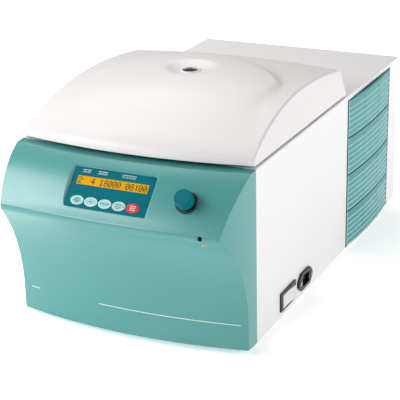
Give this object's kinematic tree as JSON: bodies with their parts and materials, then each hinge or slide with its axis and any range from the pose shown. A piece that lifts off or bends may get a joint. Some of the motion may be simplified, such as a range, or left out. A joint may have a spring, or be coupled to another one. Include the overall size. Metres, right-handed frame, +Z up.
{
  "type": "laboratory centrifuge",
  "caption": "Refrigerated bench laboratory centrifuge with a domed hinged lid, slanted rotor, sloping keypad console, side grilles and mains inlet",
  "frame": {"origin": "centre of the footprint at the underside of the rubber feet", "axes": "+X to the operator's right, +Y to the rear away from the console, +Z up"},
  "size_m": [0.3426, 0.65, 0.3116],
  "materials": {
    "white_paint": "fine textured powder coat",
    "white_plastic": "fine satin texture",
    "teal_plastic": "fine satin grain",
    "grille_plastic": "satin",
    "foil": "smooth polyester foil",
    "key_pale": "smooth",
    "key_red": "smooth",
    "amber_window": "clear amber",
    "knob_plastic": "satin",
    "black_plastic": "satin",
    "rocker_white": "smooth",
    "brass_pin": "polished",
    "screw_steel": "zinc plated",
    "stainless": "brushed",
    "zinc_sheet": "galvanised",
    "black_rubber": "matt",
    "grey_rubber": "matt",
    "foam": "closed-cell foam",
    "copper": "drawn tube",
    "black_paint": "gloss enamel",
    "fin_aluminium": "mill finish",
    "rotor_alloy": "anodised",
    "circuit": "solder mask",
    "glass": "tinted",
    "fan_plastic": "satin",
    "cast_motor": "painted casting"
  },
  "bodies": {
    "cabinet": {"base_plate": "zinc_sheet", "rubber_feet": "black_rubber", "housing_shell": "white_paint", "front_panel": "teal_plastic", "rear_panel": "white_paint", "right_grille": "grille_plastic", "left_grille": "grille_plastic", "keypad_foil": "foil", "display_window": "amber_window", "display_module": "circuit", "control_board": "circuit", "knob_ring": "black_plastic", "encoder_body": "black_plastic", "switch_frame": "black_plastic", "inlet_body": "black_plastic", "inlet_pins": "brass_pin", "inlet_screws": "screw_steel", "chamber_bowl": "stainless", "evaporator_coil": "copper", "guard_ring": "zinc_sheet", "chamber_insulation": "foam", "chamber_collar": "white_plastic", "chamber_seal": "grey_rubber", "chamber_posts": "zinc_sheet", "rubber_buffers": "black_rubber", "motor_carrier": "zinc_sheet", "motor_housing": "cast_motor", "compressor": "black_paint", "condenser_frame": "zinc_sheet", "condenser_fins": "fin_aluminium", "fan_shroud": "fan_plastic", "filter_drier": "copper", "refrigerant_pipes": "copper", "power_board": "circuit", "rear_screws": "screw_steel", "latch_block": "zinc_sheet", "release_guide": "black_plastic", "hinge_brackets": "stainless", "hinge_pins": "stainless"},
    "lid": {"lid_shell": "white_plastic", "lid_liner": "zinc_sheet", "lid_pan": "stainless", "lid_screws": "screw_steel", "sight_tube": "black_plastic", "sight_glass": "glass", "lid_striker": "zinc_sheet", "hinge_leaves": "zinc_sheet"},
    "rotor_unit": {"rotor": "rotor_alloy", "rotor_nut": "stainless", "motor_shaft": "stainless"},
    "fan": {"fan_impeller": "fan_plastic"},
    "encoder_knob": {"knob": "knob_plastic"},
    "rocker": {"switch_rocker": "rocker_white"},
    "hook": {"latch_hook": "stainless"},
    "release": {"release_spindle": "stainless"},
    "keypad_key_1": {"key_1": "key_pale"},
    "keypad_key_2": {"key_2": "key_pale"},
    "keypad_key_3": {"key_3": "key_pale"},
    "keypad_key_4": {"key_4": "key_pale"},
    "keypad_key_5": {"key_5": "key_red"}
  },
  "joints": [
    {"name": "lid_hinge", "type": "hinge", "parent": "cabinet", "child": "lid", "pos_m": [0, 0.079, 0.252], "axis": [-1, 0, 0], "range_deg": [0, 80]},
    {"name": "rotor_spin", "type": "hinge", "parent": "cabinet", "child": "rotor_unit", "pos_m": [0, -0.076, 0.16], "axis": [0, 0, 1], "continuous": true},
    {"name": "fan_spin", "type": "hinge", "parent": "cabinet", "child": "fan", "pos_m": [0.12, 0.186, 0.112], "axis": [1, 0, 0], "continuous": true},
    {"name": "knob_turn", "type": "hinge", "parent": "cabinet", "child": "encoder_knob", "pos_m": [0.1018, -0.3004, 0.2113], "axis": [0, -0.7071, 0.7071], "continuous": true},
    {"name": "rocker_tilt", "type": "hinge", "parent": "cabinet", "child": "rocker", "pos_m": [0.159, -0.137, 0.0295], "axis": [0, 0, 1], "range_deg": [0, 12]},
    {"name": "hook_turn", "type": "hinge", "parent": "cabinet", "child": "hook", "pos_m": [0.128, -0.209, 0.176], "axis": [0, 1, 0], "range_deg": [0, 10]},
    {"name": "release_turn", "type": "hinge", "parent": "cabinet", "child": "release", "pos_m": [0.128, -0.26, 0.176], "axis": [0, 1, 0], "range_deg": [0, 10]},
    {"name": "key_1_press", "type": "slide", "parent": "cabinet", "child": "keypad_key_1", "axis": [0, 0.7071, -0.7071], "range_m": [0, 0.0005], "stiffness_N_per_m": 900, "springref_m": -0.0006},
    {"name": "key_2_press", "type": "slide", "parent": "cabinet", "child": "keypad_key_2", "axis": [0, 0.7071, -0.7071], "range_m": [0, 0.0005], "stiffness_N_per_m": 900, "springref_m": -0.0006},
    {"name": "key_3_press", "type": "slide", "parent": "cabinet", "child": "keypad_key_3", "axis": [0, 0.7071, -0.7071], "range_m": [0, 0.0005], "stiffness_N_per_m": 900, "springref_m": -0.0006},
    {"name": "key_4_press", "type": "slide", "parent": "cabinet", "child": "keypad_key_4", "axis": [0, 0.7071, -0.7071], "range_m": [0, 0.0005], "stiffness_N_per_m": 900, "springref_m": -0.0006},
    {"name": "key_5_press", "type": "slide", "parent": "cabinet", "child": "keypad_key_5", "axis": [0, 0.7071, -0.7071], "range_m": [0, 0.0005], "stiffness_N_per_m": 900, "springref_m": -0.0006}
  ],
  "couplings": [
    {"joint": "release_turn", "follows": "hook_turn", "ratio": 1}
  ]
}
